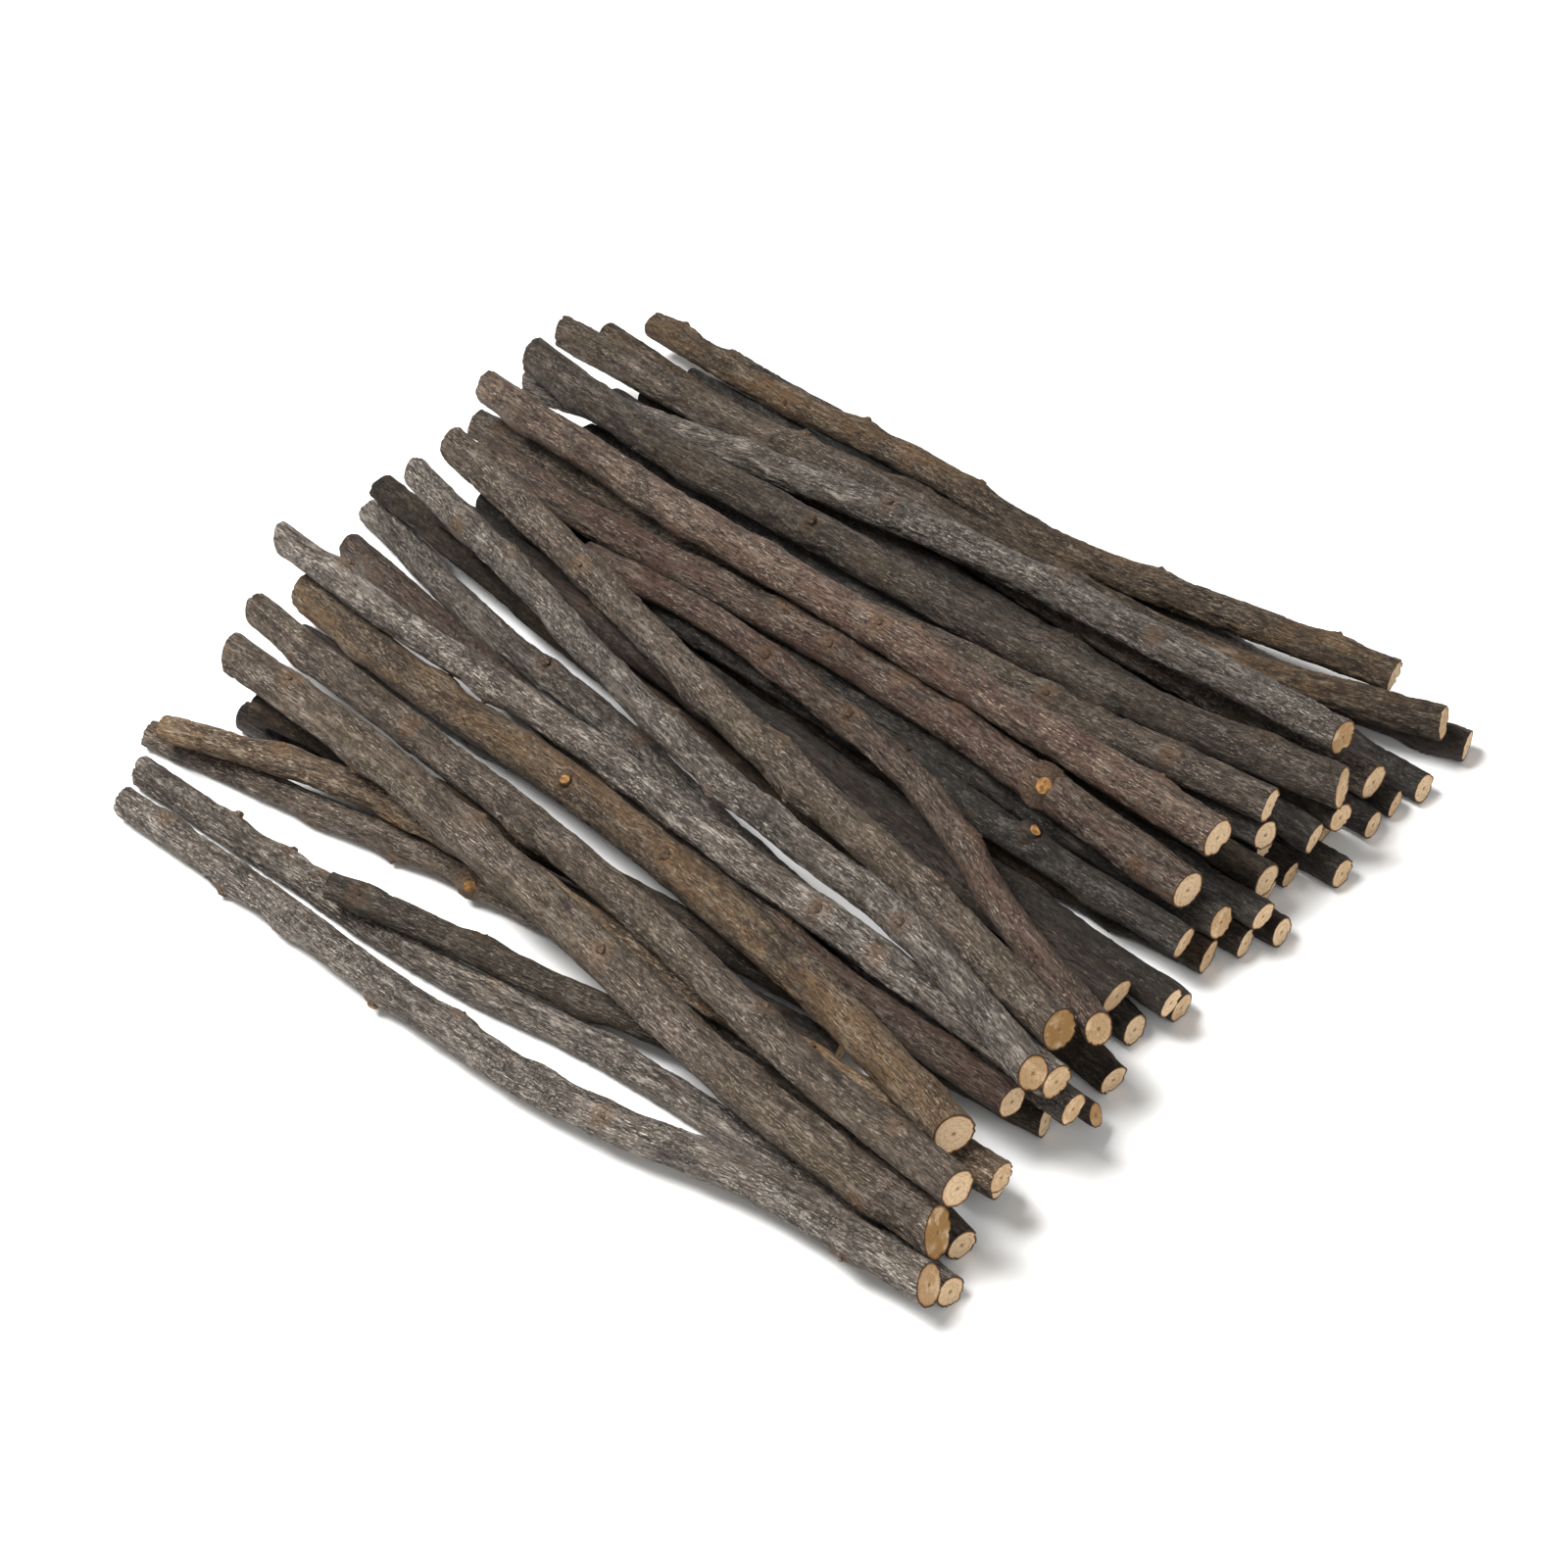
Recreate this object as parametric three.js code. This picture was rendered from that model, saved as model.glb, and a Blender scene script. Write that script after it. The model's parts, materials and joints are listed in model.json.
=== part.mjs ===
// A loose bundle of cut twigs lying on a flat surface.
//
// Units are millimetres. +X runs along the twigs, towards their thick (butt) ends, +Y runs
// across the pile towards its back, and +Z is up. The pile stands on z = 0, with the origin
// under the middle of its box.
//
// Each twig is a bent, tapered eight-sided rod. The twigs are laid down one after another:
// each is dropped at its own place, rolls sideways into the nearest hollow, and comes to rest
// on the two highest points under it, one on either side of its middle.

import * as THREE from 'three';

// Driving dimensions.
const SIDES = 8;              // flats round a twig, one of them facing straight down
const BENT_RINGS = 12;        // lengths that a bent twig is made of
const STRAIGHT_RINGS = 4;     // lengths that a straight twig is made of
const GAP = 0.35;             // clear space kept where two twigs touch
const SLICE = 4;              // spacing of the upright slices in which the twigs are laid
const PILE_REACH = 140;       // the slices run this far to either side of the middle
const END_MARGIN = 3;         // a twig keeps clear of its neighbours this far beyond its cuts
const ROLL_REACH = 2;         // the furthest that either end rolls sideways
const ROLL_STEP = 0.5;        // the steps in which it rolls
const ROLL_COST = 0.4;        // the drop in height that makes a millimetre of rolling worth it

// What each kind of bark looks like.
const BARKS = {
  grey: { color: '#6f6860', roughness: 0.92 },
  olive: { color: '#5d5748', roughness: 0.88 },
  brown: { color: '#66533b', roughness: 0.92 },
  red: { color: '#5c4741', roughness: 0.82 },
};

// The twigs, in the order in which they are laid. at is the middle of a twig in plan and turn
// its heading in degrees from +X. thick is its diameter at the thin end and at the butt. A
// bent twig has a bow: how far it strays to its +Y side at 20, 40, 60 and 80 per cent of its
// length.
const TWIGS = [
  // Lying on the surface, from the front of the pile to its back.
  { name: 'twig_01', bark: 'grey', at: [11.5, -80.5], turn: 2, length: 204, thick: [6.4, 6.6],
    bow: [-0.5, -1, 3.5, 3] },
  { name: 'twig_02', bark: 'olive', at: [37, -76.5], turn: 7, length: 144, thick: [5.6, 6.8],
    bow: [3, 6, 9.5, 8] },
  { name: 'twig_03', bark: 'olive', at: [4.5, -67], turn: 6, length: 205, thick: [5.8, 6.6],
    bow: [3, 6, 4.5, 2] },
  { name: 'twig_04', bark: 'red', at: [-12, -55.5], turn: 4, length: 150, thick: [6.2, 6.4] },
  { name: 'twig_05', bark: 'brown', at: [10.5, -48.5], turn: 8, length: 184, thick: [6.4, 6.6],
    bow: [1, 2, 1, 0.5] },
  { name: 'twig_06', bark: 'red', at: [6, -33], turn: 0.5, length: 206, thick: [4.1, 4.3] },
  { name: 'twig_07', bark: 'grey', at: [-2, -17.5], turn: -10, length: 225, thick: [6.6, 6.8],
    bow: [-3.5, -2, -4, -3.5] },
  { name: 'twig_08', bark: 'brown', at: [-3, -8], turn: -6, length: 217, thick: [6.6, 6.8] },
  { name: 'twig_09', bark: 'olive', at: [4, 0.5], turn: -4.5, length: 193, thick: [6, 6.8] },
  { name: 'twig_10', bark: 'grey', at: [5, 9], turn: -3.5, length: 197, thick: [6, 6.6] },
  { name: 'twig_11', bark: 'brown', at: [4, 18.5], turn: -1.5, length: 191, thick: [6.2, 7.6],
    bow: [-1, -2, -3, -4] },
  { name: 'twig_12', bark: 'olive', at: [4, 25.5], turn: -1, length: 197, thick: [6, 6.8] },
  { name: 'twig_13', bark: 'red', at: [8, 32.5], turn: -1, length: 196, thick: [6, 6.6] },
  { name: 'twig_14', bark: 'grey', at: [2, 39], turn: -1, length: 191, thick: [5.6, 6] },
  { name: 'twig_15', bark: 'olive', at: [3, 45], turn: -1, length: 190, thick: [5.6, 6] },
  { name: 'twig_16', bark: 'grey', at: [6, 51.5], turn: -0.5, length: 199, thick: [6, 6.8] },
  { name: 'twig_17', bark: 'brown', at: [2, 58.5], turn: -0.5, length: 188, thick: [6.2, 7.2] },
  { name: 'twig_18', bark: 'grey', at: [5, 65.5], turn: 0, length: 195, thick: [6.4, 6.6] },
  { name: 'twig_19', bark: 'olive', at: [4, 73.5], turn: 0.5, length: 196, thick: [6, 6.2] },
  { name: 'twig_20', bark: 'grey', at: [6, 80.5], turn: 0.5, length: 196, thick: [6.2, 6.6] },
  { name: 'twig_21', bark: 'red', at: [7, 93.5], turn: 2, length: 194, thick: [6, 7.2],
    bow: [-1.5, -3.5, -5, -7] },

  // Lying in the hollows between those.
  { name: 'twig_22', bark: 'grey', at: [13, -86], turn: 3.5, length: 199, thick: [6.4, 8],
    bow: [-2, -5.5, -6.5, 0] },
  { name: 'twig_23', bark: 'brown', at: [9, -67], turn: 5.5, length: 200, thick: [5.8, 6.8],
    bow: [9, 9, 5.5, 2.5] },
  { name: 'twig_24', bark: 'red', at: [-3.5, -27], turn: -9.5, length: 211, thick: [6.6, 6.8],
    bow: [-0.5, -2, -3.5, -4] },
  { name: 'twig_25', bark: 'grey', at: [6, 29], turn: -1, length: 196, thick: [5.8, 6.4] },
  { name: 'twig_26', bark: 'brown', at: [4, 36], turn: -1, length: 190, thick: [6.2, 7.6] },
  { name: 'twig_27', bark: 'olive', at: [1, 46.5], turn: -2.5, length: 184, thick: [5.8, 6.4] },
  { name: 'twig_28', bark: 'grey', at: [5, 22], turn: -1.5, length: 189, thick: [6.2, 7.2] },
  { name: 'twig_29', bark: 'olive', at: [5, 3], turn: -2.5, length: 198, thick: [6, 6.8] },
  { name: 'twig_30', bark: 'grey', at: [3, 53], turn: -2, length: 193, thick: [6.2, 7] },
  { name: 'twig_31', bark: 'olive', at: [5, 60], turn: -2, length: 191, thick: [6, 6.6] },
  { name: 'twig_32', bark: 'grey', at: [3, 12.5], turn: -1, length: 189, thick: [6.2, 7.2],
    bow: [0.5, 0.5, 1, -0.5] },
  { name: 'twig_33', bark: 'red', at: [3, -3.5], turn: -3, length: 187, thick: [6.2, 8] },
  { name: 'twig_34', bark: 'olive', at: [-6, 65], turn: 3, length: 210, thick: [7.4, 8],
    bow: [0.5, 3.5, 0.5, -0.5] },
  { name: 'twig_35', bark: 'brown', at: [-5.5, 83.5], turn: 5, length: 212, thick: [5.8, 7.4],
    bow: [-7.5, -6, -9.5, -10] },
  { name: 'twig_36', bark: 'brown', at: [-10.5, 88.5], turn: 4, length: 192, thick: [6.4, 7.4],
    bow: [-3.5, -4, -8.5, -4.5] },
  { name: 'twig_37', bark: 'grey', at: [3, 41.5], turn: -1.5, length: 184, thick: [5.8, 6.6] },

  // Lying loose on top, each more askew than the twigs under it.
  { name: 'twig_38', bark: 'olive', at: [10.5, -67.5], turn: -4, length: 194, thick: [8.3, 9.5],
    bow: [2.5, 1.5, -0.5, -2.5] },
  { name: 'twig_39', bark: 'olive', at: [5, -57], turn: -7.5, length: 210, thick: [7.1, 8],
    bow: [1, 2.5, 2, -0.5] },
  { name: 'twig_40', bark: 'brown', at: [-0.5, -45], turn: -9.5, length: 204, thick: [8.5, 8.7],
    bow: [0.5, 4.5, 5.5, 4.5] },
  { name: 'twig_41', bark: 'grey', at: [-2, -33], turn: -3.5, length: 216, thick: [6.5, 7.4],
    bow: [0, 1.5, 0.5, 0] },
  { name: 'twig_42', bark: 'grey', at: [4, -22], turn: -13, length: 208, thick: [6.6, 7],
    bow: [-0.5, -2, -1, 3.5] },
  { name: 'twig_43', bark: 'red', at: [-1.5, 18], turn: -1.5, length: 191, thick: [7.5, 8.5],
    bow: [0, 3.5, 4.5, 3] },
  { name: 'twig_44', bark: 'olive', at: [-6, 33.5], turn: 3.5, length: 202, thick: [7, 7.6],
    bow: [-2.5, -3, -0.5, -1] },
  { name: 'twig_45', bark: 'red', at: [23, -5.5], turn: -13, length: 166, thick: [6, 6.8],
    bow: [9, 12, 12.5, 4.5] },
  { name: 'twig_46', bark: 'olive', at: [0.5, -9], turn: -13, length: 204, thick: [7.4, 8.5],
    bow: [0.5, -0.5, -0.5, 0.5] },
  { name: 'twig_47', bark: 'grey', at: [-6, 54], turn: 6, length: 201, thick: [7, 7.6],
    bow: [4.5, 7, 6.5, 3.5] },
  { name: 'twig_48', bark: 'olive', at: [-2, 51], turn: 4, length: 205, thick: [8.4, 9],
    bow: [-5.5, -6, -7.5, -6] },
  { name: 'twig_49', bark: 'red', at: [-5, 27], turn: -1, length: 196, thick: [7.8, 8.6],
    bow: [-1, -1, 0, 0] },
];

const { clamp, degToRad, lerp } = THREE.MathUtils;

// How far a twig strays to its +Y side at a share of its length: a smooth curve through its
// bow, which comes back to nothing at both ends.
function strayAt(twig, share) {
  if (!twig.bow) return 0;
  const knots = [-twig.bow[0], 0, ...twig.bow, 0, -twig.bow[3]];
  const at = clamp(share, 0, 1) * 5;
  const i = Math.min(Math.floor(at), 4);
  const w = at - i;
  const [a, b, c, d] = knots.slice(i, i + 4);
  const bend = (2 * a - 5 * b + 4 * c - d) / 2 + w * (3 * b - a - 3 * c + d) / 2;
  return b + w * ((c - a) / 2 + w * bend);
}

// Where a twig lies in plan once its two ends have rolled sideways.
function planOf(twig, rollThin, rollButt) {
  const turn = degToRad(twig.turn);
  const half = twig.length / 2;
  return {
    turn: turn + Math.atan((rollButt - rollThin) / (2 * half)),
    x: twig.at[0] - Math.sin(turn) * (rollThin + rollButt) / 2,
    y: twig.at[1] + Math.cos(turn) * (rollThin + rollButt) / 2,
  };
}

// The upright slices that a twig passes through: the place of its middle line across the pile,
// its radius, and the half-width that the slanting cut through it has.
function slicesOf(twig, plan) {
  const cos = Math.cos(plan.turn);
  const slices = new Map();
  for (let x = -PILE_REACH; x <= PILE_REACH; x += SLICE) {
    const along = (x - plan.x) / cos;
    if (Math.abs(along) > twig.length / 2 + END_MARGIN) continue;
    const share = along / twig.length + 0.5;
    const radius = lerp(twig.thick[0], twig.thick[1], share) / 2;
    const y = plan.y + along * Math.sin(plan.turn) + strayAt(twig, share) / cos;
    slices.set(x, { x, y, radius, reach: radius / cos });
  }
  return slices;
}

// The least height that the middle line can have in each slice, over the surface and over
// every twig laid already.
function leastHeights(slices, laid) {
  const points = [];
  for (const [x, slice] of slices) {
    let z = slice.radius * Math.cos(Math.PI / SIDES);
    for (const other of laid) {
      const under = other.slices.get(x);
      if (!under) continue;
      const apart = slice.y - under.y;
      const room = slice.reach + under.reach + GAP;
      if (Math.abs(apart) < room) z = Math.max(z, under.z + Math.sqrt(room ** 2 - apart ** 2));
    }
    points.push({ x, z });
  }
  return points;
}

// The line that rests on the points from above: the edge of their upper outline that passes
// over the point of balance.
function restOn(points, balance) {
  const outline = [];
  for (const p of points) {
    while (outline.length > 1) {
      const [a, b] = outline.slice(-2);
      if ((b.z - a.z) * (p.x - b.x) > (p.z - b.z) * (b.x - a.x)) break;
      outline.pop();
    }
    outline.push(p);
  }
  const i = Math.max(1, outline.findIndex((p) => p.x > balance));
  const [a, b] = [outline[i - 1], outline[i]];
  const slope = (b.z - a.z) / (b.x - a.x);
  return { slope, zAt: (x) => a.z + slope * (x - a.x) };
}

// Drops a twig on those laid already, at the roll that lets it come to rest lowest.
function lay(twig, laid) {
  const [thin, butt] = twig.thick;
  const lead = twig.length * (butt ** 2 - thin ** 2) / (6 * (butt ** 2 + thin ** 2));
  let best = null;
  for (let a = -ROLL_REACH; a <= ROLL_REACH; a += ROLL_STEP) {
    for (let b = -ROLL_REACH; b <= ROLL_REACH; b += ROLL_STEP) {
      const plan = planOf(twig, a, b);
      const balance = plan.x + lead * Math.cos(plan.turn);
      const slices = slicesOf(twig, plan);
      const rest = restOn(leastHeights(slices, laid), balance);
      const cost = rest.zAt(balance) + ROLL_COST * (Math.abs(a) + Math.abs(b));
      if (!best || cost < best.cost) best = { cost, plan, slices, rest };
    }
  }
  const { plan, slices, rest } = best;
  for (const slice of slices.values()) slice.z = rest.zAt(slice.x);
  return { twig, plan, slices, z: rest.zAt(plan.x), pitch: Math.atan(rest.slope * Math.cos(plan.turn)) };
}

// The body of a twig, lying along X about its own middle.
function twigGeometry(twig) {
  const rings = twig.bow ? BENT_RINGS : STRAIGHT_RINGS;
  const rod = new THREE.CylinderGeometry(1, 1, 1, SIDES, rings, false, Math.PI / SIDES);
  const points = rod.getAttribute('position');
  for (let i = 0; i < points.count; i += 1) {
    const share = points.getY(i) + 0.5;
    const radius = lerp(twig.thick[0], twig.thick[1], share) / 2;
    const y = strayAt(twig, share) + points.getZ(i) * radius;
    points.setXYZ(i, (share - 0.5) * twig.length, y, points.getX(i) * radius);
  }
  rod.computeVertexNormals();
  return rod;
}

// One twig, put where it came to rest.
function twigMesh({ twig, plan, z, pitch }) {
  const material = new THREE.MeshStandardMaterial({ ...BARKS[twig.bark], metalness: 0 });
  material.name = `bark_${twig.bark}`;
  const mesh = new THREE.Mesh(twigGeometry(twig), material);
  mesh.name = twig.name;
  mesh.position.set(plan.x, plan.y, z);
  mesh.rotation.set(0, -pitch, plan.turn, 'ZYX');
  return mesh;
}

const laid = [];
for (const twig of TWIGS) laid.push(lay(twig, laid));

const pile = new THREE.Group();
pile.name = 'twig_bundle';
for (const place of laid) pile.add(twigMesh(place));

// The origin goes under the middle of the pile's box.
pile.updateMatrixWorld(true);
const box = new THREE.Box3().setFromObject(pile, true);
const middle = box.getCenter(new THREE.Vector3());
for (const mesh of pile.children) mesh.position.sub(new THREE.Vector3(middle.x, middle.y, box.min.z));

export default pile;
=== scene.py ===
"""A loose pile of cut twigs: bark, buds, branch scars and sawn ends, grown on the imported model's rods."""

import json
import math

import bpy
import numpy as np
from bpy.props import FloatProperty, FloatVectorProperty, IntProperty, PointerProperty
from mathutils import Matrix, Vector


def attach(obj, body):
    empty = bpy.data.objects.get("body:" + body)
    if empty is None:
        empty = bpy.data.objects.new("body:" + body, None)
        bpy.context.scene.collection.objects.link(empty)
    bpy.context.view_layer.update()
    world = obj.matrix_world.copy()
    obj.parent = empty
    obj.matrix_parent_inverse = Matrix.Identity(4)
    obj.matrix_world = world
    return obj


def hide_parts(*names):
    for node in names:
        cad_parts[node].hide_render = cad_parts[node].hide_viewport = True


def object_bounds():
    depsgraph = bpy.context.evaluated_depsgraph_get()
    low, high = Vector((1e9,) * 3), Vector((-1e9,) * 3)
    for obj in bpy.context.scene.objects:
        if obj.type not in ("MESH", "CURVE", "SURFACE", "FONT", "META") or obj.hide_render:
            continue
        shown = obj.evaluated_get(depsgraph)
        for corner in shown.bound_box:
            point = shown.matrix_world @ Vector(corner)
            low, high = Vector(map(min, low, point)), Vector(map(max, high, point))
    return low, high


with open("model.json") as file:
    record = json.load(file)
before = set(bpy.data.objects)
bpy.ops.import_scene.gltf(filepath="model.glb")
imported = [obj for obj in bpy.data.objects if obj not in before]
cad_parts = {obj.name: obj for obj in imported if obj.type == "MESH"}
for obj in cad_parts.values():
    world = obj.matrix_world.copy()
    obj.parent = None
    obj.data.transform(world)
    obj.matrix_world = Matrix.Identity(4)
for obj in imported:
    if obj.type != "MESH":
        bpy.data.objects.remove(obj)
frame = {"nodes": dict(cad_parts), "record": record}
CAD_BOX = [[float(v) for v in corner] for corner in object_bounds()]

bl_info = {
    "name": "Twig pile",
    "version": (1, 0, 0),
    "blender": (4, 5, 0),
    "location": "3D View > Sidebar > Twigs",
    "description": "Grows bark, buds, scars and sawn ends on a pile of rods",
    "category": "Add Mesh",
}

MM = 0.001
ROD_STEPS = 97            # points along the smooth middle line of a rod
ROD_SHRINK = 0.95         # the bare rod's share of the CAD radius, under the bark's relief
SAW_LEAN_SHARE = 0.035    # share of a twig's length over which its leaning cut fades
INSETS = (0.93, 0.85, 0.78, 0.68, 0.55, 0.35)   # rings of a sawn face, each a share of the last
DRIFT_SCALE = 38.0        # scale of the noise by which a twig's middle line wanders
QUAD_CORNERS = 4          # corners of a face of the bark, where a sawn face has more
SAW_RIM = 0.97            # the saw marks stay inside this share of a sawn face's radius
SAW_TEETH = 0.35 * MM     # depth of the marks that the saw's teeth leave
END_MARGIN = 0.02 * MM    # points this near to a twig's end count as its sawn face
SCAR_WOOD_WIDTH = 2.3 * MM    # wider stubs than this show bare scar wood
BURIED_BARK_AND_SHADE_TONES = (0.2, 0.34)    # lightness of the buried twigs' bark: partly their own darker bark, partly painted shade of the pile's depths
COARSER = 1.5             # step of a buried twig's mesh over an open one's

# The twigs that lie open to view get the fine mesh, the others a coarser one.
OPEN_TWIGS = [1, 2, 3, 7, 22, 23, 24, 34, 35, 36] + list(range(38, 50))

# Buds and branch scars that stand out, one row each: twig, share of its length from the thin
# end, direction round it in degrees (0 to the pile's back, 90 up, 180 to its front), width in mm.
SCARS = [
    (22, 0.16, 215, 2.2), (22, 0.38, 215, 2.4), (22, 0.47, 40, 1.6), (22, 0.66, 120, 1.5),
    (1, 0.13, 40, 1.8), (1, 0.20, 35, 1.6), (1, 0.25, 30, 1.8), (1, 0.47, 60, 1.7),
    (3, 0.40, 150, 3.6), (3, 0.30, 215, 1.6), (3, 0.62, 60, 1.5),
    (23, 0.12, 70, 1.8), (23, 0.33, 110, 1.6),
    (38, 0.35, 40, 1.8), (38, 0.56, 110, 2.0), (38, 0.20, 215, 1.6),
    (39, 0.42, 215, 1.6), (39, 0.75, 60, 1.5),
    (40, 0.43, 120, 2.6), (40, 0.57, 115, 2.2), (40, 0.22, 30, 1.6),
    (41, 0.08, 40, 2.4), (41, 0.73, 110, 2.0), (41, 0.30, 215, 1.5),
    (7, 0.30, 100, 2.2), (24, 0.45, 120, 1.8), (24, 0.72, 80, 1.5),
    (42, 0.18, 60, 1.8), (42, 0.46, 40, 1.8), (42, 0.55, 200, 1.8), (42, 0.80, 120, 1.9),
    (46, 0.57, 40, 1.8), (46, 0.61, 215, 1.8), (46, 0.25, 120, 1.4),
    (45, 0.30, 120, 2.2), (45, 0.45, 100, 2.0), (45, 0.70, 40, 1.5),
    (43, 0.81, 125, 4.8), (43, 0.68, 60, 2.4), (43, 0.51, 120, 2.2),
    (49, 0.60, 40, 2.0), (49, 0.57, 110, 1.8), (49, 0.30, 215, 1.5),
    (44, 0.35, 60, 1.5), (44, 0.75, 110, 1.7),
    (48, 0.40, 115, 2.2), (48, 0.68, 50, 1.8),
    (47, 0.45, 100, 2.0), (47, 0.66, 60, 2.0), (47, 0.20, 215, 1.6),
    (34, 0.30, 45, 2.2), (36, 0.04, 40, 1.6), (36, 0.13, 40, 1.8), (36, 0.31, 38, 1.8),
    (36, 0.48, 40, 1.8), (36, 0.72, 40, 1.7), (36, 0.93, 40, 1.7), (35, 0.60, 60, 1.6),
    (11, 0.72, 95, 2.4), (32, 0.62, 90, 2.0), (32, 0.80, 85, 3.2), (8, 0.97, 60, 2.6),
]

# How far the sawn faces lean, as slopes along the twig towards its side and its top, and how
# much of the face is stained: twig, thin end, butt, stain.
CUTS = {
    22: ((0.1, 0.2), (0.15, 0.35), 0.6), 1: ((0.2, 0.1), (-0.1, 0.2), 0.1),
    38: ((0.3, 0.2), (0.2, 0.45), 0.9), 39: ((0.1, 0.3), (-0.05, 0.1), 0.1),
    40: ((0.2, 0.2), (-0.1, 0.15), 0.1), 41: ((0.4, 0.5), (-0.1, 0.1), 0.4),
    42: ((0.2, 0.3), (0.1, 0.35), 0.6), 46: ((0.2, 0.2), (0.05, 0.3), 0.9),
    45: ((0.1, 0.1), (0.1, 0.4), 0.5), 24: ((0.1, 0.2), (-0.1, 0.05), 0.2),
    43: ((0.3, 0.2), (-0.05, 0.05), 0.1), 49: ((0.1, 0.2), (-0.05, 0.05), 0.1),
    48: ((0.2, 0.1), (0.05, 0.15), 0.5), 47: ((0.1, 0.2), (-0.1, 0.1), 0.7),
    6: ((0.1, 0.1), (0.2, 0.5), 0.8), 2: ((0.1, 0.1), (-0.05, 0.1), 0.1),
}

# How light the bark of each open twig is. The buried ones are much darker: partly their own dark bark, partly
# painted shade where the twigs above shade them.
TONES = {
    1: 1.0, 2: 0.55, 3: 1.0, 7: 0.75, 22: 1.0, 23: 1.15, 24: 0.62, 34: 0.8, 35: 0.5, 36: 0.65, 38: 1.02,
    39: 0.9, 40: 0.72, 41: 1.1, 42: 0.85, 43: 0.85, 44: 0.72, 45: 0.8, 46: 0.95, 47: 0.8, 48: 0.55, 49: 1.15,
}


def linear(hex_colour):
    """An sRGB hex colour as linear red, green and blue."""
    channels = [int(hex_colour[i:i + 2], 16) / 255 for i in (1, 3, 5)]
    return [c / 12.92 if c <= 0.04045 else ((c + 0.055) / 1.055) ** 2.4 for c in channels]


def add(tree, kind, inputs=None, out=0, **settings):
    """Adds one node with its settings, fills or links its inputs, and gives back one of its
    outputs, or the node itself where out is None."""
    node = tree.nodes.new(kind)
    for name, value in settings.items():
        setattr(node, name, value)
    for key, value in (inputs or {}).items():
        if isinstance(value, bpy.types.NodeSocket):
            tree.links.new(value, node.inputs[key])
        else:
            node.inputs[key].default_value = value
    return node if out is None else node.outputs[out]


RAMP = "ShaderNodeMapRange"
SMOOTH = {"interpolation_type": "SMOOTHSTEP"}


def streaks(tree, grain, length, width, detail, roughness=0.6, shift=0.0):
    """A pattern of spots drawn out along the grain to the length and width given, in metres."""
    finer = (1 / length, 1 / width, 1 / width)
    drawn = add(tree, "ShaderNodeVectorMath", {0: grain, 1: finer, 2: (shift,) * 3}, operation="MULTIPLY_ADD")
    return add(tree, "ShaderNodeTexNoise",
               {"Vector": drawn, "Scale": 1.0, "Detail": detail, "Roughness": roughness})


# ---------------------------------------------------------------- the rods

def smooth_path(points, count):
    """Points evenly spaced in share along a smooth curve through the rows given."""
    rows = np.vstack([2 * points[0] - points[1], points, 2 * points[-1] - points[-2]])
    steps = np.linspace(0, len(points) - 1, count)
    i = np.minimum(steps.astype(int), len(points) - 2)
    w = (steps - i)[:, None]
    a, b, c, d = rows[i], rows[i + 1], rows[i + 2], rows[i + 3]
    bend = (2 * a - 5 * b + 4 * c - d) / 2 + w * (3 * b - a - 3 * c + d) / 2
    return b + w * ((c - a) / 2 + w * bend)


def rod_of(node):
    """The middle line and the radius of a twig's CAD rod, from its thin end to its butt."""
    mesh = frame["nodes"][node].data
    points = np.array([v.co for v in mesh.vertices])
    normals = np.array([p.normal for p in mesh.polygons])
    areas = np.array([p.area for p in mesh.polygons])
    _, _, axes = np.linalg.svd(points - points.mean(0), full_matrices=False)
    chord = axes[0] * np.sign(axes[0][0])
    facing = normals @ chord
    ends = np.abs(facing) > 0.9
    chord = (normals[ends] * (np.sign(facing[ends]) * areas[ends])[:, None]).sum(0)
    chord /= np.linalg.norm(chord)
    along = points @ chord
    centres, radii = [], []
    for mark in np.unique(np.round(along / MM)) * MM:
        ring = np.unique(np.round(points[np.abs(along - mark) < MM], 7), axis=0)
        if len(ring) < 8 or (centres and (ring.mean(0) - centres[-1]) @ chord < 2 * MM):
            continue
        centres.append(ring.mean(0))
        radii.append(np.linalg.norm(ring - ring.mean(0), axis=1).max())
    rows = np.column_stack([centres, radii])
    return smooth_path(rows, ROD_STEPS), chord


def spare_object(name, points, edges, attributes):
    """A mesh of points and edges that carries values for the geometry nodes."""
    mesh = bpy.data.meshes.new(name)
    mesh.from_pydata([tuple(p) for p in points], edges, [])
    for key, values in attributes.items():
        values = np.asarray(values, np.float32)
        kind = "FLOAT" if values.ndim == 1 else "FLOAT_VECTOR"
        layer = mesh.attributes.new(key, kind, "POINT")
        layer.data.foreach_set("value" if values.ndim == 1 else "vector", values.ravel())
    piece = bpy.data.objects.new(name, mesh)
    bpy.context.scene.collection.objects.link(piece)
    return piece


# ---------------------------------------------------------------- geometry nodes

def new_tree(name, sockets):
    """An empty geometry tree with named inputs; gives the tree and its input node."""
    tree = bpy.data.node_groups.new(name, "GeometryNodeTree")
    tree.interface.new_socket("Geometry", in_out="INPUT", socket_type="NodeSocketGeometry")
    for label, kind, value in sockets:
        socket = tree.interface.new_socket(label, in_out="INPUT", socket_type=kind)
        if value is not None:
            socket.default_value = value
    tree.interface.new_socket("Geometry", in_out="OUTPUT", socket_type="NodeSocketGeometry")
    return tree, tree.nodes.new("NodeGroupInput")


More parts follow.
